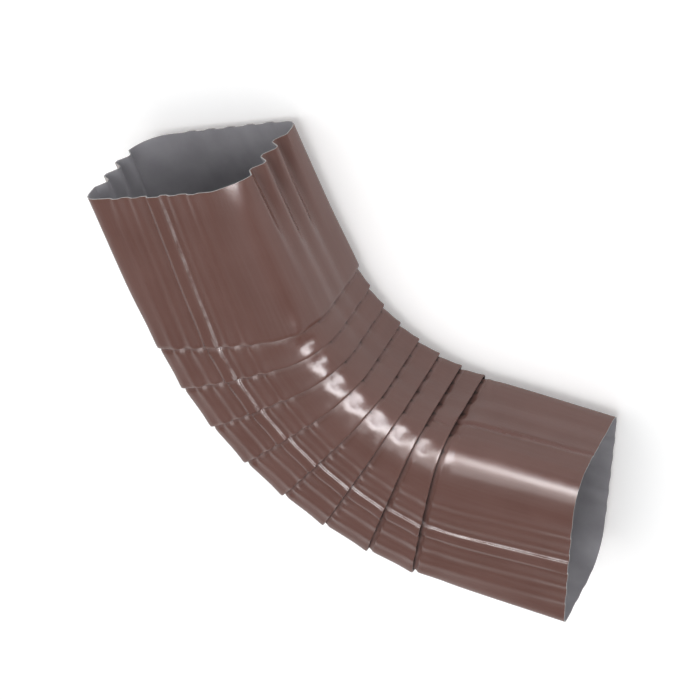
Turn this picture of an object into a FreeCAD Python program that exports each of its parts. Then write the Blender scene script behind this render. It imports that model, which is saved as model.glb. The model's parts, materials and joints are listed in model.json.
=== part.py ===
import FreeCAD, Part

# Corrugated downspout elbow, folded from one painted aluminium sheet.
#
# A rectangular tube is rolled from ribbed sheet and closed by a lock seam on one wide face. Eight
# pleats are then pressed into it. Each pleat is deep on the inside of the bend and nearly nothing on
# the outside, so the tube shortens on one side and turns. The four faces are called throat (inside of
# the bend), heel (outside) and the two cheeks (near, with the seam, and far).
#
# Frame: the origin is the centre of the inlet mouth and +Y points out of it. The elbow turns towards
# +X and lies on its far cheek, with +Z up through the near cheek.

import os
from math import cos, pi, radians, sin

from FreeCAD import Vector

# Driving dimensions, in millimetres and degrees
sheet = 0.5               # thickness of the sheet
section_depth = 85.5      # throat to heel over the lips of the pleats
bend_width = 56.4         # cheek to cheek over the lips, beside the ridges
rim_width_inlet = 51.6    # the same at the inlet rim
rim_width_outlet = 51.6   # the same at the outlet rim
throat_radius = 73.0      # bend centre to the throat face
bend_angle = 68.0         # between the two straight legs
inlet_leg = 73.7          # straight leg from the inlet rim to the start of the bend
outlet_leg = 55.6         # straight leg from the end of the bend to the outlet rim

# Corners: two opposite ones are rolled tight, the other two are soft
tight_corner = 5.4        # outer radius at the far throat edge and the near heel edge
soft_corner_start = 8.0   # where the soft corner leaves the narrow face, from the face's middle
tight_steps = 3
soft_steps = 5

# Grooves along the narrow faces
groove_count = 3
groove_pitch = 10.8
groove_floor = 1.8        # width of the flat floor
groove_mouth = 8.6        # width where the flanks reach the crests
groove_inlet = 4.5        # depth at the inlet rim, which gathers the rim to a smaller size
groove_outlet = 0.5       # depth at the outlet rim
groove_body = 0.9         # depth at both ends of the bend, and all along the heel
groove_lip = 0.4          # depth on the throat over the pleats, which have pressed the grooves flat
groove_root = 2.6         # depth on the throat where the sheet comes out from under a lip
groove_notch = 5.0        # width of the mouth there
groove_reach = 0.75       # share of the inlet leg over which the deep grooves run out
inlet_stations = (0.0, 0.6)   # sections along the inlet leg, as shares from the rim
outlet_stations = (0.0, 1.0)  # sections along the outlet leg, as shares from the bend

# Ridges along the cheeks
ridge_count = 5
ridge_pitch = 10.2
ridge_height = 0.9
ridge_crest = 2.8         # width of the flat crest
ridge_foot = 6.8          # width where the flanks reach the face
near_ridges_start = 28.0  # first ridge of the near cheek at the rims, from the throat face
far_ridges_start = 16.5   # first ridge of the far cheek, from the throat face
ridge_drift = 3.0         # how far pleating has pulled the near ridges towards the heel

# Lock seam, which takes the place of one ridge of the near cheek
seam_ridge = 2
seam_crest = 6.6
seam_foot = 7.6
seam_height = 1.3

# How the tube departs from a straight box
inlet_shift = 1.4         # the inlet leg sits this much nearer the heel than the bend does
inlet_taper = 1.1         # the inlet rim is this much wider at each cheek by the throat
outlet_taper = 1.0        # the same at the outlet rim
outlet_throat = (1.0, 0.7)  # extra reach of the outlet leg at the throat, at its start and its rim
outlet_heel = (0.5, 0.7)    # the same at the heel
outlet_lift = (-0.5, 0.6)   # how far the leg's middle lies towards the seam, at its start and its rim
outlet_step = 1.5         # the outlet leg starts this much inside the last lip, at each cheek
throat_growth = 1.2       # the last lip reaches this much further out at the throat than the first
throat_lean = 2.0         # the last lip leans this much towards the outlet at the throat
lip_crown = 1.5           # the lips bulge this much in the middle of a cheek
outlet_twist = 2.5        # turn of the outlet rim about its leg, in degrees

# Pleats
pleat_count = 8
first_pleat_angle = 1.85  # plane of the first lip, from the start of the bend
last_pleat_angle = 61.35  # plane of the last lip
fold_depth_heel = 0.5     # how far the sheet is tucked back under the lip at the heel
layer_gap = 0.15          # between the two layers of the lip
drop_throat = 2.6         # from the top of the lip down to the root of the tuck, at the throat
drop_heel = 1.45          # the same at the heel
drop_bulge = 1.6          # extra drop in the middle of a cheek
drop_hollow = 1.0         # extra drop in the middle of the throat and of the heel, at the last pleat
shoulder_ahead = 2.5      # from a lip to the shoulder, where the next segment has come out from under it
shoulder_drop = 0.7       # depth of the shoulder below the lip, at the corners
shoulder_bulge = 1.4      # extra depth in the middle of a cheek, at the last pleat
shoulder_hollow = 0.9     # extra depth in the middle of the throat and of the heel, at the last pleat
crease_back = 0.6         # crease inside the lip, behind the lip's front
fold_back = 0.4           # creases round the root of the tuck, behind the root
fold_spread = 0.45        # half the distance between these two creases

# Derived values. Two layers of each tuck take up what a pleat shortens the throat by.
half_depth = section_depth / 2
bend_radius = throat_radius + half_depth
pleat_angle = (last_pleat_angle - first_pleat_angle) / (pleat_count - 1)
fold_depth_throat = fold_depth_heel + section_depth * radians(pleat_angle) / 2
lip_thickness = 2 * sheet + layer_gap
body_groove = groove_body, groove_mouth
pressed_groove = groove_lip, groove_mouth
notch_groove = groove_root, groove_notch
outlet_groove = groove_outlet, groove_mouth
bend_centre = Vector(bend_radius + inlet_shift, -inlet_leg, 0)


def groove_stops(depth, mouth):
    """Places along a narrow face, from its middle, and how far each lies below the crests."""
    stops = []
    for index in range(groove_count):
        middle = (index - (groove_count - 1) / 2) * groove_pitch
        stops.append((middle - mouth / 2, 0))
        stops.append((middle - groove_floor / 2, depth))
        stops.append((middle + groove_floor / 2, depth))
        stops.append((middle + mouth / 2, 0))
    return stops


def ridge_stops(start, seam):
    """Places across a cheek, from the throat face, and how far each stands above it.

    seam is the index of the ridge whose place the lock seam takes, or None.
    """
    stops = []
    for index in range(ridge_count):
        middle = start + index * ridge_pitch
        crest, foot, rise = ridge_crest, ridge_foot, ridge_height
        if index == seam:
            crest, foot, rise = seam_crest, seam_foot, seam_height
        stops.append((middle - foot / 2, 0))
        stops.append((middle - crest / 2, rise))
        stops.append((middle + crest / 2, rise))
        stops.append((middle + foot / 2, 0))
    return stops


def narrow_face(reach, half_width, groove):
    """Grooved narrow face and the soft corner after it, as (a, b) points, drawn for the throat.

    a is the distance towards the bend centre and b the height. groove is the depth of the grooves and
    the width of their mouths. The third groove runs into the soft corner, so places past its start
    are carried round the arc.
    """
    radius = half_width - soft_corner_start
    points = []
    stops = groove_stops(*groove)
    last = stops[-1][0]
    corner_end = soft_corner_start + radius * pi / 2
    for step in range(1, soft_steps + 1):
        stops.append((last + (corner_end - last) * step / soft_steps, 0))
    for along, below in stops:
        turn = max(0.0, along - soft_corner_start) / radius
        straight = min(along, soft_corner_start)
        points.append((reach - radius + (radius - below) * cos(turn),
                       straight + (radius - below) * sin(turn)))
    return points


def tight_arc(reach, half_width):
    """Tight corner from a cheek to the next narrow face, as (a, b) points, drawn for the near heel edge."""
    points = []
    for step in range(tight_steps + 1):
        turn = pi / 2 * step / tight_steps
        points.append((-reach + tight_corner - tight_corner * sin(turn),
                       half_width - tight_corner + tight_corner * cos(turn)))
    return points


def section(throat, heel, width, throat_groove, heel_groove, drift):
    """Closed outline of the tube at one station, anticlockwise from the throat's lower end.

    throat and heel are the reaches of the narrow faces from the middle of the tube, and width gives
    the distance of the cheeks from the bend plane for each place between heel and throat. The two
    grooves are depth and mouth, and drift is how far the near ridges lie towards the heel.
    """
    middle = width(0.0)
    near = [(half_depth - across, middle + rise)
            for across, rise in ridge_stops(near_ridges_start + drift, seam_ridge)]
    far = [(across - half_depth, middle + rise)
           for across, rise in reversed(ridge_stops(far_ridges_start, None))]
    upper = narrow_face(throat, middle, throat_groove) + near + tight_arc(heel, middle)
    lower = narrow_face(heel, middle, heel_groove) + far + tight_arc(throat, middle)
    outline = upper + [(-a, -b) for a, b in lower]
    return [(a, b * width(a) / middle) for a, b in outline]


def cheeks(width, taper=0.0, crown=0.0):
    """Distance of both cheeks from the bend plane, widened towards the throat and bulged between."""
    def at(a):
        share = a / half_depth
        return width / 2 + taper * share + crown * (1 - share * share)
    return at


def twist(outline, angle):
    """The outline turned about the middle of the tube."""
    turn = radians(angle)
    return [(a * cos(turn) - b * sin(turn), a * sin(turn) + b * cos(turn)) for a, b in outline]


def inset(outline, distance):
    """The outline moved inwards by a distance, square to each of its sides."""
    moved = []
    count = len(outline)
    for index in range(count):
        before, here, after = (outline[(index + step) % count] for step in (-1, 0, 1))
        first = Vector(here[1] - before[1], before[0] - here[0], 0).normalize()
        second = Vector(after[1] - here[1], here[0] - after[0], 0).normalize()
        mitre = (first + second) * (distance / (1 + first.dot(second)))
        moved.append((here[0] - mitre.x, here[1] - mitre.y))
    return moved


def place(outline, angle, shift):
    """The outline in space: on the plane at an angle round the bend, moved along the tube.

    shift gives the distance along the tube for each place a between heel and throat.
    """
    turn = pi + radians(angle)
    outward = Vector(cos(turn), sin(turn), 0)
    along = Vector(-sin(turn), cos(turn), 0)
    points = []
    for a, b in outline:
        points.append(bend_centre + outward * (bend_radius - a) + along * shift(a) + Vector(0, 0, b))
    return points


def level(distance):
    """The same distance along the tube at every place between heel and throat."""
    return lambda a: distance


def between(heel_value, throat_value, a):
    """A value that runs evenly from the heel face to the throat face, at the place a between them."""
    return heel_value + (throat_value - heel_value) * (a + half_depth) / section_depth


def hollow(outline, depth):
    """The outline with its narrow faces sunk by a depth in their middle, and not at the corners."""
    sunk = []
    for a, b in outline:
        middle_share = max(0.0, 1 - (2 * b / bend_width) ** 2)
        sunk.append((a * (1 - depth / half_depth * middle_share), b))
    return sunk


def below_lip(late, throat_depth, heel_depth, bulge, groove):
    """Outline at a depth below a lip. late is 0 at the first pleat and 1 at the last.

    bulge is the extra depth in the middle of the cheeks, and groove that of the throat.
    """
    def width(a):
        share = a / half_depth
        lip = bend_width / 2 + lip_crown * (1 - share * share)
        return lip - between(heel_depth, throat_depth, a) - bulge * (1 - share * share)
    return section(half_depth + throat_growth * late - throat_depth, half_depth - heel_depth, width,
                   groove, body_groove, ridge_drift)


def lean(late, ahead):
    """Distance along the tube at each place: a distance ahead of a lip that leans at the throat."""
    return lambda a: ahead + between(0.0, throat_lean * late, a)


def tuck(late, extra):
    """Distance from the lip to the root of the tuck, far back at the throat and little at the heel."""
    shift = lean(late, -extra)
    return lambda a: shift(a) - between(fold_depth_heel, fold_depth_throat, a)


def pleat_rings(index):
    """Rings of the outer and the inner skin round one pleat, in the order in which the sheet runs.

    They are the lip, its underside, the root of the tuck and the shoulder after it. The later a
    pleat was pressed, the further its faces are sunk under the lip.
    """
    late = index / (pleat_count - 1)
    angle = first_pleat_angle + index * pleat_angle
    lip = below_lip(late, 0.0, 0.0, 0.0, pressed_groove)
    underside = inset(lip, lip_thickness)
    root = hollow(below_lip(late, drop_throat, drop_heel, drop_bulge, notch_groove), drop_hollow * late)
    shoulder = hollow(below_lip(late, shoulder_drop, shoulder_drop, shoulder_bulge * late,
                                pressed_groove), shoulder_hollow * late)
    outer = [place(lip, angle, lean(late, 0.0)),
             place(underside, angle, lean(late, 0.0)),
             place(root, angle, tuck(late, 0.0)),
             place(shoulder, angle, lean(late, shoulder_ahead))]
    inner = [place(inset(lip, sheet + layer_gap / 2), angle, lean(late, -crease_back)),
             place(inset(root, -fold_spread), angle, tuck(late, fold_back)),
             place(inset(root, fold_spread), angle, tuck(late, fold_back)),
             place(inset(shoulder, sheet), angle, lean(late, shoulder_ahead))]
    return outer, inner


def inlet_sections():
    """Stations of the inlet leg: share of its length from the rim, and the outline there."""
    stations = []
    for share in inlet_stations:
        width = cheeks(rim_width_inlet + (bend_width - rim_width_inlet) * share,
                       inlet_taper * (1 - share), lip_crown * share)
        groove = max(groove_body, groove_inlet * (1 - share / groove_reach)), groove_mouth
        stations.append((share, section(half_depth - inlet_shift, half_depth + inlet_shift, width,
                                        groove, groove, ridge_drift * share)))
    return stations


def outlet_sections():
    """Stations of the outlet leg: share of its length from the bend, and the outline there."""
    stations = []
    root_width = bend_width - 2 * outlet_step
    for share in outlet_stations:
        width = cheeks(root_width + (rim_width_outlet - root_width) * share,
                       outlet_taper * share, lip_crown * (1 - share))
        throat, heel, lift = (first + (last - first) * share
                              for first, last in (outlet_throat, outlet_heel, outlet_lift))
        outline = section(half_depth + throat, half_depth + heel, width,
                          outlet_groove, body_groove, ridge_drift * (1 - share))
        stations.append((share, [(a, b + lift) for a, b in twist(outline, -outlet_twist * share)]))
    return stations


def skins():
    """Rings of the outer and the inner skin from the inlet rim to the outlet rim."""
    outer = []
    inner = []
    for share, outline in inlet_sections():
        outer.append(place(outline, 0.0, level(inlet_leg * (share - 1))))
        inner.append(place(inset(outline, sheet), 0.0, level(inlet_leg * (share - 1))))
    for index in range(pleat_count):
        outside, inside = pleat_rings(index)
        outer += outside
        inner += inside
    for share, outline in outlet_sections():
        outer.append(place(outline, bend_angle, level(outlet_leg * share)))
        inner.append(place(inset(outline, sheet), bend_angle, level(outlet_leg * share)))
    return outer, inner


def ring_edges(points):
    """Corners and sides of one ring, shared by the strips on both sides of it."""
    corners = [Part.Vertex(point) for point in points]
    sides = [Part.Edge(corner, corners[(index + 1) % len(corners)])
             for index, corner in enumerate(corners)]
    return corners, sides


def strip(first, second):
    """Band of sheet between two rings, each of its panels folded flat along one diagonal."""
    faces = []
    count = len(first[0])
    rungs = [Part.Edge(first[0][index], second[0][index]) for index in range(count)]
    for index in range(count):
        after = (index + 1) % count
        diagonal = Part.Edge(first[0][index], second[0][after])
        faces.append(Part.Face(Part.Wire([first[1][index], rungs[after], diagonal])))
        faces.append(Part.Face(Part.Wire([second[1][index], rungs[index], diagonal])))
    return faces


def elbow():
    """The folded sheet as one closed solid: both skins, joined by the cut rims."""
    outer, inner = [[ring_edges(points) for points in skin] for skin in skins()]
    faces = []
    for skin in (outer, inner):
        for first, second in zip(skin, skin[1:]):
            faces += strip(first, second)
    faces += strip(outer[0], inner[0])
    faces += strip(outer[-1], inner[-1])
    shell = Part.makeShell(faces)
    shell.sewShape()
    solid = Part.makeSolid(shell)
    if solid.Volume < 0:
        solid.reverse()
    return solid


shape = elbow()
print("valid", shape.isValid(), "faces", len(shape.Faces), "volume", round(shape.Volume, 1))
print("box", [round(value, 2) for value in (shape.BoundBox.XMin, shape.BoundBox.XMax, shape.BoundBox.YMin,
                                           shape.BoundBox.YMax, shape.BoundBox.ZMin, shape.BoundBox.ZMax)])
os.makedirs("parts", exist_ok=True)
shape.exportStep("parts/elbow_body.step")
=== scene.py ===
# %% [markdown]
# # A corrugated downspout elbow
#
# The object is one strip of ribbed aluminium sheet, rolled into a rectangular tube, locked by a seam
# on its near wide face and bent by eight pressed pleats. It is enamelled brown outside, and has a thin
# grey wash coat inside. The narrow face inside the bend is called the throat, the one outside it the
# heel, and the two wide faces are the cheeks. There is one piece, so the work here goes into its
# surface: soft bends instead of sharp ones, puckers, the knurled seam, the enamel and the light on it.

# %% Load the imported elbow
import json
from math import atan2, cos, hypot, pi, radians, sin

import bpy
from mathutils import Matrix, Vector
from mathutils.kdtree import KDTree

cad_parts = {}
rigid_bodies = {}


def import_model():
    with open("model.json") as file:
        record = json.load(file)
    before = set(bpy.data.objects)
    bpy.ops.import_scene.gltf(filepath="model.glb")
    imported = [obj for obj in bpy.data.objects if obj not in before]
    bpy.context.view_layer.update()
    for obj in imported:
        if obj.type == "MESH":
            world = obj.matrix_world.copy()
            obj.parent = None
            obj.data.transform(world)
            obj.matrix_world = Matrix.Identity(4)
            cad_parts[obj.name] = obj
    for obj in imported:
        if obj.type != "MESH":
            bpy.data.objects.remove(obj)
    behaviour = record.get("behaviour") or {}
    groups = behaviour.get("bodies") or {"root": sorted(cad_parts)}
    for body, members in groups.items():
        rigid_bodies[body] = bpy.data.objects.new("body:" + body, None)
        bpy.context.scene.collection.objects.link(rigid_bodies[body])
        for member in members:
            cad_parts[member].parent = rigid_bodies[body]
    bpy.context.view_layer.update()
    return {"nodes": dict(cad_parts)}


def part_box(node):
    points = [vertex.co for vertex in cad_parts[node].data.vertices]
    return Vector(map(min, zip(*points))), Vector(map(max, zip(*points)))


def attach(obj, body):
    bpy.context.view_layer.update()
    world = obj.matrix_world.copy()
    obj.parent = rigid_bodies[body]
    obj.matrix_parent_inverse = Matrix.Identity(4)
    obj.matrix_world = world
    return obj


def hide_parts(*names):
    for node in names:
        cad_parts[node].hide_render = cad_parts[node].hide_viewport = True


for spare in list(bpy.data.objects):
    bpy.data.objects.remove(spare)
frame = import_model()
cad_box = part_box("elbow_body")

# %% [markdown]
# ## Where things are on the tube
#
# The tube has a straight leg, a round bend and another straight leg. A place on the sheet is easier to
# say in the tube's own directions: how far along it lies from the inlet rim, how far it is from the
# heel towards the throat, and how high it is over the middle. The bend's centre, radius and angle are
# all that is needed to turn a point in space into these three.

# %% Directions of the tube
bend_centre = Vector((0.11715, -0.0737, 0.0))
bend_radius = 0.11575
bend_angle = radians(68.0)
outlet_leg = 0.0556


def tube_place(point):
    """(along, across, height) of a point: along from the inlet rim, across towards the throat."""
    east = bend_centre.x - point.x
    south = bend_centre.y - point.y
    angle = atan2(south, east)
    if angle < 0:
        return -point.y, bend_radius - east, point.z
    if angle > bend_angle:
        beyond = south * cos(bend_angle) - east * sin(bend_angle)
        reach = east * cos(bend_angle) + south * sin(bend_angle)
        return -bend_centre.y + bend_radius * bend_angle + beyond, bend_radius - reach, point.z
    return -bend_centre.y + bend_radius * angle, bend_radius - hypot(east, south), point.z


def tube_point(along, across, height):
    """The point in space at a place on the tube, the other way round from tube_place."""
    angle = min(max((along + bend_centre.y) / bend_radius, 0.0), bend_angle)
    beyond = along + bend_centre.y - bend_radius * angle
    reach = bend_radius - across
    east = reach * cos(angle) - beyond * sin(angle)
    south = reach * sin(angle) + beyond * cos(angle)
    return Vector((bend_centre.x - east, bend_centre.y - south, height))


tube_length = -bend_centre.y + bend_radius * bend_angle + outlet_leg
print("tube length in mm", round(tube_length * 1000, 1))

# %% [markdown]
# ## The camera
#
# The photograph looks along the tube's cheek from the throat side, from about a metre away and with
# the camera rolled, so the place, the line of sight and the upward direction are given, and the third
# axis follows from them.

# %% Camera
camera_place = Vector((0.618107, 0.436964, 0.730063))
sight = Vector((-0.53722, -0.50178, -0.67795)).normalized()
upward = Vector((0.02785, 0.79279, -0.60886))
focal_length = 125.36

camera_data = bpy.data.cameras.new("camera")
camera_data.lens = focal_length
camera_data.clip_start = 0.01
camera = bpy.data.objects.new("camera", camera_data)
bpy.context.scene.collection.objects.link(camera)
right = sight.cross(upward).normalized()
axes = Matrix((right, right.cross(sight), -sight)).transposed().to_4x4()
camera.matrix_world = Matrix.Translation(camera_place) @ axes
bpy.context.scene.camera = camera
print("camera is", round(camera_place.length, 3), "m from the inlet mouth")

# %% [markdown]
# ## The folded sheet
#
# The CAD node already has every groove, ridge and pleat in the right place, but its bends are knife
# sharp and its round corners are facets. A pressed sheet has small round bends. The node stays as it
# is, and a copy of it is worked on: its loose triangles are welded and paired into four-sided faces,
# and then the sharp bends get narrow bevels. One level of subdivision makes them round, because the
# bevels hold the subdivision close to each bend, while the wide corners flow.

# %% Weld a copy of the node
bpy.ops.object.select_all(action="DESELECT")
sheet = bpy.data.objects.new("folded_sheet", frame["nodes"]["elbow_body"].data.copy())
bpy.context.scene.collection.objects.link(sheet)
sheet.select_set(True)
bpy.context.view_layer.objects.active = sheet
weld_distance = 0.000002

bpy.ops.mesh.customdata_custom_splitnormals_clear()
bpy.ops.object.mode_set(mode="EDIT")
bpy.ops.mesh.select_all(action="SELECT")
bpy.ops.mesh.remove_doubles(threshold=weld_distance)
flat_pairs = [(turn, 30) for turn in (1, 2, 4, 6, 9, 12, 20, 40)]
bent_pairs = [(turn, 180) for turn in (12, 40, 180)]
for turn, skew in flat_pairs + bent_pairs:
    bpy.ops.mesh.tris_convert_to_quads(face_threshold=radians(turn), shape_threshold=radians(skew))
bpy.ops.object.mode_set(mode="OBJECT")
print("welded", len(sheet.data.vertices), "corners", len(sheet.data.polygons), "faces, of which",
      sum(len(face.vertices) == 4 for face in sheet.data.polygons), "four-sided")

# %% Tell the skins apart
def end_distance(point):
    """How far a point is from the nearer rim, along the tube."""
    along = tube_place(point)[0]
    return min(along, tube_length - along)


def at_rims():
    """For each corner of the sheet, whether it lies in the plane of a rim."""
    return [end_distance(vertex.co) < 0.00001 for vertex in sheet.data.vertices]


def select_only(kind, wanted):
    """Select the edges or faces for which wanted(one) is true, and nothing else, and open edit mode."""
    bpy.ops.object.mode_set(mode="OBJECT")
    for part in (sheet.data.vertices, sheet.data.edges, sheet.data.polygons):
        part.foreach_set("select", [False] * len(part))
    parts = getattr(sheet.data, kind)
    chosen = [wanted(one) for one in parts]
    parts.foreach_set("select", chosen)
    bpy.ops.object.mode_set(mode="EDIT")
    return sum(chosen)


sheet.data.materials.clear()
for finish in ("brown_enamel", "grey_wash_coat", "cut_metal"):
    sheet.data.materials.append(bpy.data.materials.new(finish))

bpy.ops.object.mode_set(mode="EDIT")
bpy.ops.mesh.select_mode(type="FACE")
on_rim = at_rims()
cut_faces = select_only("polygons", lambda face: all(on_rim[i] for i in face.vertices))
sheet.active_material_index = 2
bpy.ops.object.material_slot_assign()
bpy.ops.mesh.region_to_loop()
bpy.ops.mesh.mark_seam()
bpy.ops.mesh.select_mode(type="FACE")
outermost = max(sheet.data.polygons, key=lambda face: face.center.z).index
select_only("polygons", lambda face: face.index == outermost)
bpy.ops.mesh.select_linked(delimit={"SEAM"})
bpy.ops.object.mode_set(mode="OBJECT")
outside = {face.index for face in sheet.data.polygons if face.select}
inside = select_only("polygons", lambda face: face.index not in outside and face.material_index != 2)
sheet.active_material_index = 1
bpy.ops.object.material_slot_assign()
bpy.ops.object.mode_set(mode="OBJECT")
print(len(outside), "faces outside,", inside, "inside and", cut_faces, "on the cut rims")

# %% Cut each stretch of the tube across
def cut_across(shortest, cuts):
    """Cut across every stretch of both skins that is longer than this at the heel."""
    places = [tube_place(vertex.co) for vertex in sheet.data.vertices]
    bpy.ops.object.mode_set(mode="EDIT")
    bpy.ops.mesh.select_mode(type="EDGE")

    def is_long(edge):
        one, other = (places[i] for i in edge.vertices)
        return max(one[1], other[1]) < -0.035 and abs(one[0] - other[0]) > shortest

    select_only("edges", is_long)
    bpy.ops.mesh.loop_multi_select(ring=True)
    before = len(sheet.data.vertices)
    bpy.ops.mesh.subdivide(number_cuts=cuts, smoothness=0)
    bpy.ops.object.mode_set(mode="OBJECT")
    return before


first_new = cut_across(0.010, 2)
print("cut to", len(sheet.data.polygons), "faces, of which",
      sum(len(face.vertices) == 4 for face in sheet.data.polygons), "four-sided")

# %% Soften the ridges
def throat_side(along):
    """The direction that faces the throat, at a distance along the tube."""
    return (tube_point(along, 0.001, 0.0) - tube_point(along, 0.0, 0.0)).normalized()


def seam_corners():
    """Corners on the steep flanks of the lock seam, on its throat side and on its heel side."""
    flanks = (set(), set())
    for face in sheet.data.polygons:
        along, across, height = tube_place(face.center)
        lean = face.normal.dot(throat_side(along))
        if height > 0.022 and -0.030 < across < 0.010 and abs(lean) > 0.6 and face.material_index == 0:
            flanks[lean < 0].update(face.vertices)
    return flanks


steep = set().union(*seam_corners())
cheek = []
for vertex in sheet.data.vertices:
    along, across, height = tube_place(vertex.co)
    on_leg = 0.005 < along < 0.066 or 0.222 < along < 0.262
    between_corners = -0.036 < across < 0.027 and abs(height) > 0.020
    if between_corners and (on_leg or vertex.index >= first_new) and vertex.index not in steep:
        cheek.append(vertex.index)
cheek = set(cheek)
bpy.ops.object.mode_set(mode="EDIT")
bpy.ops.mesh.select_mode(type="VERT")
softened = select_only("vertices", lambda vertex: vertex.index in cheek)
bpy.ops.mesh.vertices_smooth(factor=0.5, repeat=2)
leg_start = select_only("vertices", lambda vertex: 0.209 < tube_place(vertex.co)[0] < 0.213)
bpy.ops.mesh.vertices_smooth(factor=0.35, repeat=1)
bpy.ops.object.mode_set(mode="OBJECT")
print("eased", leg_start, "corners at the start of the outlet leg")
print("softened", softened, "corners, with", len(steep), "on the flanks of the seam left")

# %% Curl each segment towards its lip
def sink(chosen, depth):
    """Move corners of the sheet, and so both its skins, towards the middle of the tube."""
    normals = [vertex.normal.copy() for vertex in sheet.data.vertices]
    inner = {i for face in sheet.data.polygons if face.material_index == 1 for i in face.vertices}
    for index in chosen:
        side = 1 if index in inner else -1
        sheet.data.vertices[index].co += normals[index] * side * depth


after_crevice, before_lip = [], []
for edge in sheet.data.edges:
    old, new = sorted(edge.vertices)
    if old < first_new <= new:
        along = tube_place(sheet.data.vertices[new].co)[0]
        if 0.066 < along < 0.213:
            onwards = along - tube_place(sheet.data.vertices[old].co)[0]
            (after_crevice if onwards > 0 else before_lip).append(new)
sink(after_crevice, 0.00022)
sink(before_lip, 0.00042)
print("curled", len(after_crevice), "and", len(before_lip), "corners")

# %% Round the bends
bend_turn = radians(19)
bend_bevel = 0.00035

bpy.ops.object.mode_set(mode="EDIT")
bpy.ops.mesh.select_mode(type="EDGE")
bpy.ops.mesh.select_all(action="DESELECT")
bpy.ops.mesh.edges_select_sharp(sharpness=bend_turn)
bpy.ops.object.mode_set(mode="OBJECT")
sharp = {edge.index for edge in sheet.data.edges if edge.select}
on_rim = at_rims()
bends = select_only("edges", lambda edge: edge.index in sharp and not all(on_rim[i] for i in edge.vertices))
bpy.ops.mesh.bevel(offset=bend_bevel, offset_type="OFFSET", segments=1, affect="EDGES")
bpy.ops.object.mode_set(mode="OBJECT")
on_rim = at_rims()
cut = select_only("edges", lambda edge: all(on_rim[i] for i in edge.vertices))
bpy.ops.transform.edge_crease(value=1.0)
bpy.ops.object.mode_set(mode="OBJECT")
print("bends rounded along", bends, "edges, and", cut, "edges of the cut rims kept crisp")

# %% Subdivide
rounding = sheet.modifiers.new("rounding", "SUBSURF")
rounding.levels = 1
rounding.render_levels = 1
bpy.ops.object.modifier_apply(modifier=rounding.name)
bpy.ops.object.shade_smooth_by_angle(angle=radians(40))
print("smooth sheet has", sum(len(face.vertices) - 2 for face in sheet.data.polygons), "triangles")

# %% [markdown]
# ## Puckers in the soft corner
#
# Where the pleats run round the wide corner on the throat side, the sheet is squeezed and puckers: each
# segment has a shallow dent there, and the lip after it stands up a little. A soft push at a point, with
# everything within reach of it following less and less, does the same as a thumb on real sheet. It
# moves both skins together, so the wall keeps its thickness.

# %% Push the sheet like a thumb
corners = KDTree(len(sheet.data.vertices))
for vertex in sheet.data.vertices:
    corners.insert(vertex.co, vertex.index)
corners.balance()


def push(along, across, height, depth, reach):
    """Push the corner in at a place given in mm, or out where the depth is negative."""
    point = tube_point(along / 1000, across / 1000, height / 1000)
    inwards = tube_point(along / 1000, (across - 6.4) / 1000, (height - 7.7) / 1000) - point
    corner = corners.find(point)[1]
    select_only("vertices", lambda vertex: vertex.index == corner)
    bpy.ops.transform.translate(value=inwards.normalized() * depth / 1000, use_proportional_edit=True,
                                proportional_edit_falloff="SMOOTH", proportional_size=reach / 1000)
    bpy.ops.object.mode_set(mode="OBJECT")


# %% Dents and raised lips
bpy.ops.object.mode_set(mode="EDIT")
bpy.ops.mesh.select_mode(type="VERT")
puckers = [
    (0.0, 34.0, 23.5, 1.3, 9.0), (0.0, 30.0, 26.6, 0.7, 8.0), (0.0, 37.5, 20.0, 0.7, 8.0),
    (74.5, 34.8, 23.8, -1.2, 6.5),
    (77.5, 33.4, 24.6, -0.6, 4.5), (84.5, 35.3, 23.0, 1.0, 5.0), (90.5, 34.8, 23.5, -0.4, 4.0),
    (94.5, 34.0, 24.0, -0.45, 4.0), (101.0, 35.3, 23.0, 1.0, 5.0), (107.0, 35.5, 23.0, -0.4, 4.0),
    (111.5, 34.5, 23.9, -0.35, 4.0), (119.5, 36.0, 22.6, 1.05, 5.2), (124.5, 34.5, 24.1, -0.35, 4.0),
    (137.0, 36.3, 22.5, 1.05, 5.4), (142.0, 33.8, 25.0, -0.4, 4.0),
    (153.5, 36.0, 22.8, 1.0, 5.4), (171.0, 36.0, 22.8, 1.0, 5.4), (188.0, 35.5, 23.2, 0.9, 5.2),
    (81.0, 31.8, 25.6, 0.45, 3.6), (98.5, 31.2, 25.9, 0.45, 3.6), (115.5, 30.6, 26.2, 0.45, 3.6),
    (133.0, 31.0, 25.9, 0.45, 3.8), (149.5, 30.6, 26.2, 0.35, 3.6), (166.5, 30.4, 26.4, 0.35, 3.6),
]
for pucker in puckers:
    push(*pucker)
print("puckers pushed:", len(puckers))

# %% The groove in the outlet throat
groove_start, groove_end = (0.200, 0.0067), (tube_length, 0.0033)
grooved = 0
for vertex in sheet.data.vertices:
    along, across, height = tube_place(vertex.co)
    share = (along - groove_start[0]) / (groove_end[0] - groove_start[0])
    away = abs(height - groove_start[1] - share * (groove_end[1] - groove_start[1]))
    if share > 0 and across > 0.035 and away < 0.0009:
        vertex.co -= throat_side(along) * 0.00055
        grooved += 1
print("corners pressed into the throat groove:", grooved)

# %% Mark the seam's edges and each point's place along the tube
throat_edge, heel_edge = seam_corners()
seam_marks = sheet.data.attributes.new("seam_edges", "FLOAT_VECTOR", "POINT")
along_sheet = sheet.data.attributes.new("tube_place", "FLOAT_VECTOR", "POINT")
for vertex in sheet.data.vertices:
    index = vertex.index
    seam_marks.data[index].vector = (index in throat_edge, index in heel_edge, 0)
    along_sheet.data[index].vector = tube_place(vertex.co)
print("seam edge corners", len(throat_edge), "and", len(heel_edge))

# %% [markdown]
# ## Finishes

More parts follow.
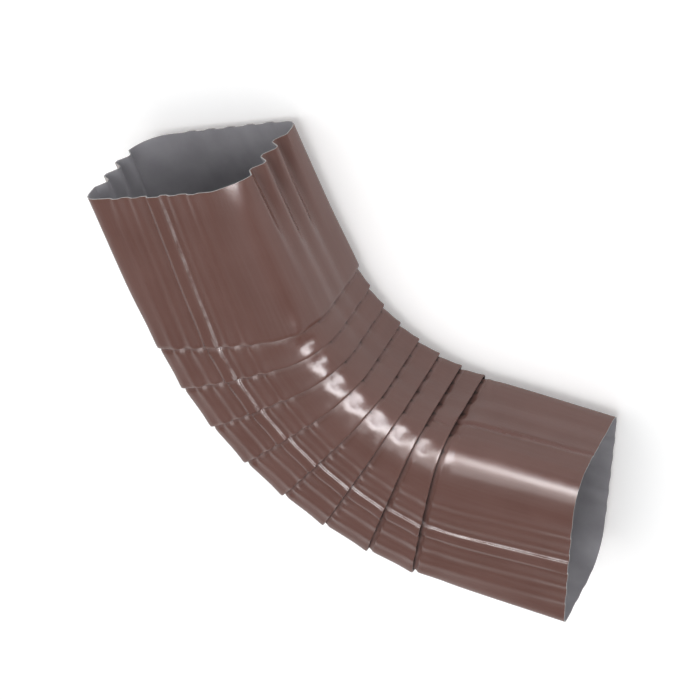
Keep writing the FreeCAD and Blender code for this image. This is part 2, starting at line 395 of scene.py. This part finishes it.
# %% Helpers for the finishes
def start_finish(name):
    """Nodes, links and the shader of one of the sheet's finishes."""
    finish = bpy.data.materials[name]
    finish.use_nodes = True
    tree = finish.node_tree
    return tree.nodes, tree.links, tree.nodes["Principled BSDF"]


def noise(nodes, links, source, scale, detail):
    """A noise texture over a coordinate output."""
    texture = nodes.new("ShaderNodeTexNoise")
    texture.inputs["Scale"].default_value = scale
    texture.inputs["Detail"].default_value = detail
    links.new(source, texture.inputs["Vector"])
    return texture.outputs["Fac"]


def spread(nodes, links, source, low, high, low_out, high_out):
    """Map one range of a value onto another."""
    ramp = nodes.new("ShaderNodeMapRange")
    for socket, value in zip(("From Min", "From Max", "To Min", "To Max"), (low, high, low_out, high_out)):
        ramp.inputs[socket].default_value = value
    links.new(source, ramp.inputs["Value"])
    return ramp.outputs["Result"]


def blend_colours(nodes, links, share, first, second):
    """Mix two colours, either of them a colour or an output."""
    mix = nodes.new("ShaderNodeMix")
    mix.data_type = "RGBA"
    links.new(share, mix.inputs["Factor"])
    for socket, colour in ((mix.inputs[6], first), (mix.inputs[7], second)):
        if isinstance(colour, tuple):
            socket.default_value = colour
        else:
            links.new(colour, socket)
    return mix.outputs[2]


def dent(nodes, links, height, strength, distance, under=None):
    """A bump from a height, on top of another."""
    bump = nodes.new("ShaderNodeBump")
    bump.inputs["Strength"].default_value = strength
    bump.inputs["Distance"].default_value = distance
    links.new(height, bump.inputs["Height"])
    if under:
        links.new(under, bump.inputs["Normal"])
    return bump.outputs["Normal"]


# %% Enamel
nodes, links, shader = start_finish("brown_enamel")
surface = nodes.new("ShaderNodeTexCoord").outputs["Object"]
tube = nodes.new("ShaderNodeAttribute")
tube.attribute_name = "tube_place"
seam = nodes.new("ShaderNodeAttribute")
seam.attribute_name = "seam_edges"
seam_sides = nodes.new("ShaderNodeSeparateXYZ")
links.new(seam.outputs["Vector"], seam_sides.inputs["Vector"])
lengthwise = nodes.new("ShaderNodeMapping")
lengthwise.inputs["Scale"].default_value = (0.03, 1.0, 1.0)
links.new(tube.outputs["Vector"], lengthwise.inputs["Vector"])

clouds = spread(nodes, links, noise(nodes, links, surface, 45, 4), 0.3, 0.7, 0, 1)
streaks = spread(nodes, links, noise(nodes, links, lengthwise.outputs["Vector"], 700, 2), 0.4, 0.7, 0, 0.5)
brown = blend_colours(nodes, links, clouds, (0.136, 0.064, 0.052, 1), (0.154, 0.074, 0.061, 1))
faded = blend_colours(nodes, links, streaks, brown, (0.155, 0.080, 0.067, 1))

# %% Pressed line in the outlet throat, with painted shade along it
def steps(nodes, links, operations, start):
    """A chain of sums on one value."""
    value = start
    for operation, amount in operations:
        node = nodes.new("ShaderNodeMath")
        node.operation = operation
        links.new(value, node.inputs[0])
        if amount is not None:
            if isinstance(amount, float):
                node.inputs[1].default_value = amount
            else:
                links.new(amount, node.inputs[1])
        value = node.outputs["Value"]
    return value


tube_parts = nodes.new("ShaderNodeSeparateXYZ")
links.new(tube.outputs["Vector"], tube_parts.inputs["Vector"])
slope = (groove_end[1] - groove_start[1]) / (groove_end[0] - groove_start[0])
line = steps(nodes, links, [("SUBTRACT", groove_start[0]), ("MULTIPLY", slope), ("ADD", groove_start[1])],
             tube_parts.outputs["X"])
off_line = steps(nodes, links, [("SUBTRACT", line), ("ABSOLUTE", None)], tube_parts.outputs["Z"])
on_throat = steps(nodes, links, [("GREATER_THAN", 0.035)], tube_parts.outputs["Y"])
on_outlet = steps(nodes, links, [("GREATER_THAN", groove_start[0])], tube_parts.outputs["X"])
groove_and_shade = steps(nodes, links, [("MULTIPLY", on_throat), ("MULTIPLY", on_outlet)],
               spread(nodes, links, off_line, 0.0005, 0.0021, 1, 0))
# Painted shade: the pressed line is painted a darker red in place of the shade on the groove's flank; the
# same mask also drives a real bump further down.
faded = blend_colours(nodes, links, groove_and_shade, faded, (0.140, 0.054, 0.042, 1))

# %% Seam edge worn and painted with a glint, painted shade in the crevices, and knurling
# The pale colour along the seam's throat-side edge is partly wear and partly a painted highlight, a glint
# along the edge.
rubbed_and_glinting = noise(nodes, links, surface, 120, 3)
wear_and_glint = nodes.new("ShaderNodeMath")
wear_and_glint.operation = "MULTIPLY"
links.new(seam_sides.outputs["X"], wear_and_glint.inputs[0])
links.new(spread(nodes, links, rubbed_and_glinting, 0.42, 0.66, 0.02, 0.36), wear_and_glint.inputs[1])
wear_and_painted_light = blend_colours(nodes, links, wear_and_glint.outputs["Value"], faded, (0.62, 0.57, 0.56, 1))
# Painted shade: where the occlusion is high, in the crevice under each lip, the colour goes nearly black. On
# the throat it reaches further in a comb of teeth, painted shadows falling into the grooves.
folds = nodes.new("ShaderNodeAmbientOcclusion")
folds.samples = 8
folds.only_local = True
folds.inputs["Distance"].default_value = 0.0026
shadow_teeth = steps(nodes, links, [("MULTIPLY", 140.0), ("FRACT", None), ("SUBTRACT", 0.5), ("ABSOLUTE", None)],
             tube_parts.outputs["Z"])
shadow_teeth = steps(nodes, links, [("MULTIPLY", on_throat)], spread(nodes, links, shadow_teeth, 0.30, 0.5, 0, 0.36))
painted_crevice_shade = spread(nodes, links, steps(nodes, links, [("SUBTRACT", shadow_teeth)], folds.outputs["AO"]), 0.32, 0.60, 1, 0)
wear_and_painted_light = blend_colours(nodes, links, painted_crevice_shade, wear_and_painted_light, (0.030, 0.015, 0.012, 1))
teeth = nodes.new("ShaderNodeTexWave")
teeth.bands_direction = "X"
teeth.inputs["Scale"].default_value = 280
links.new(tube.outputs["Vector"], teeth.inputs["Vector"])
knurl = nodes.new("ShaderNodeMath")
knurl.operation = "MULTIPLY"
links.new(seam_sides.outputs["Y"], knurl.inputs[0])
links.new(teeth.outputs["Fac"], knurl.inputs[1])
links.new(blend_colours(nodes, links, knurl.outputs["Value"], wear_and_painted_light, (0.060, 0.034, 0.029, 1)),
          shader.inputs["Base Color"])

# %% Gloss and unevenness
matt = spread(nodes, links, folds.outputs["AO"], 0.45, 0.92, 0.5, 0)
links.new(steps(nodes, links, [("ADD", matt)], spread(nodes, links, clouds, 0, 1, 0.22, 0.27)),
          shader.inputs["Roughness"])
waves = dent(nodes, links, noise(nodes, links, surface, 160, 2), 0.35, 0.0002)
knurled = dent(nodes, links, knurl.outputs["Value"], 0.6, 0.0003, waves)
pressed = dent(nodes, links, steps(nodes, links, [("MULTIPLY", -1.0)], groove_and_shade), 0.35, 0.0006, knurled)
peel = dent(nodes, links, noise(nodes, links, surface, 1800, 1), 0.12, 0.00005, pressed)
links.new(peel, shader.inputs["Normal"])
shader.inputs["IOR"].default_value = 1.5

# %% Wash coat inside
nodes, links, shader = start_finish("grey_wash_coat")
surface = nodes.new("ShaderNodeTexCoord").outputs["Object"]
mottle = spread(nodes, links, noise(nodes, links, surface, 90, 4), 0.3, 0.7, 0, 1)
grey = blend_colours(nodes, links, mottle, (0.33, 0.32, 0.345, 1), (0.39, 0.38, 0.405, 1))
links.new(grey, shader.inputs["Base Color"])
links.new(spread(nodes, links, mottle, 0, 1, 0.52, 0.62), shader.inputs["Roughness"])
shader.inputs["Specular IOR Level"].default_value = 0.3

# %% Cut edge
nodes, links, shader = start_finish("cut_metal")
surface = nodes.new("ShaderNodeTexCoord").outputs["Object"]
saw = spread(nodes, links, noise(nodes, links, surface, 1400, 2), 0.3, 0.7, 0, 1)
metal = blend_colours(nodes, links, saw, (0.26, 0.25, 0.24, 1), (0.42, 0.41, 0.40, 1))
links.new(metal, shader.inputs["Base Color"])
shader.inputs["Metallic"].default_value = 1.0
shader.inputs["Roughness"].default_value = 0.4

# %% [markdown]
# ## Floor, world and lamps

# %% Floor and world
def seen_straight(nodes, links):
    """One for a ray from the camera, off a gloss or through a glass, and nothing for the rest."""
    path = nodes.new("ShaderNodeLightPath")
    either = path.outputs["Is Camera Ray"]
    for kind in ("Is Glossy Ray", "Is Transmission Ray"):
        larger = nodes.new("ShaderNodeMath")
        larger.operation = "MAXIMUM"
        links.new(either, larger.inputs[0])
        links.new(path.outputs[kind], larger.inputs[1])
        either = larger.outputs["Value"]
    return either


ceiling = 0.14
zenith = 0.50
floor_lift = 0.31

bpy.ops.mesh.primitive_plane_add(size=6.0, location=(0, 0, cad_box[0].z - 0.0005))
floor = bpy.context.object
floor.name = "floor"
paper = bpy.data.materials.new("white_paper")
paper.use_nodes = True
nodes = paper.node_tree.nodes
links = paper.node_tree.links
nodes["Principled BSDF"].inputs["Base Color"].default_value = (0.85, 0.85, 0.85, 1)
nodes["Principled BSDF"].inputs["Roughness"].default_value = 0.9
nodes["Principled BSDF"].inputs["Emission Color"].default_value = (1, 1, 1, 1)
links.new(spread(nodes, links, seen_straight(nodes, links), 0, 1, 0, floor_lift),
          nodes["Principled BSDF"].inputs["Emission Strength"])
floor.data.materials.append(paper)

world = bpy.data.worlds.new("studio")
bpy.context.scene.world = world
world.use_nodes = True
nodes = world.node_tree.nodes
links = world.node_tree.links
heights = nodes.new("ShaderNodeSeparateXYZ")
links.new(nodes.new("ShaderNodeTexCoord").outputs["Generated"], heights.inputs["Vector"])
walls = nodes.new("ShaderNodeValToRGB")
links.new(heights.outputs["Z"], walls.inputs["Fac"])
walls.color_ramp.elements[0].position = 0.30
walls.color_ramp.elements[0].color = (1, 1, 1, 1)
walls.color_ramp.elements[1].position = 0.55
walls.color_ramp.elements[1].color = (ceiling, ceiling, ceiling, 1)
for height, level in ((0.76, ceiling), (0.88, zenith)):
    walls.color_ramp.elements.new(height).color = (level, level, level, 1)
links.new(walls.outputs["Color"], nodes["Background"].inputs["Color"])


# %% Lamps
def soft_lamp(name, place, aim, length, width, power, lengthwise):
    """A rectangular area lamp that shines at a point, with its long side in a given direction."""
    data = bpy.data.lights.new(name, "AREA")
    data.shape = "RECTANGLE"
    data.size = length
    data.size_y = width
    data.energy = power
    lamp = bpy.data.objects.new(name, data)
    bpy.context.scene.collection.objects.link(lamp)
    back = (Vector(place) - Vector(aim)).normalized()
    across = back.cross(Vector(lengthwise)).normalized()
    turn = Matrix((across.cross(back), across, back)).transposed().to_4x4()
    lamp.matrix_world = Matrix.Translation(place) @ turn
    lamp.visible_camera = False
    return lamp


middle = Vector((0.05, -0.12, 0.0))
towards_lamp = Vector((0.42, 0.36, 0.84)).normalized()
strip = Vector((-0.65, 0.75, 0.0))
gloss_lamp = soft_lamp("gloss_lamp", middle + 1.3 * towards_lamp, middle, 1.25, 0.40, 28.0, strip)
gloss_lamp.data.color = (0.92, 0.96, 1.0)
gloss_lamp.visible_diffuse = False
fade_lamp = soft_lamp("fade_lamp", middle + 1.3 * Vector((-0.25, 0.42, 0.88)), middle, 1.0, 0.9, 9.5, strip)
fade_lamp.visible_diffuse = False
edge_lamp = soft_lamp("edge_lamp", middle + 1.3 * Vector((0.16, 0.385, 0.91)), middle, 1.5, 0.26, 13.0, strip)
edge_lamp.visible_diffuse = False
key_lamp = soft_lamp("key_lamp", middle + 1.3 * towards_lamp, middle, 1.7, 0.9, 4.6, strip)
key_lamp.visible_glossy = False
top_lamp = soft_lamp("top_lamp", middle + Vector((-0.1, 0.05, 1.4)), middle, 1.4, 1.4, 11.3, (1, 0, 0))
top_lamp.visible_glossy = False
bpy.context.scene.view_settings.view_transform = "Standard"

# %% Finish
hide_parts("elbow_body")
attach(sheet, "root")
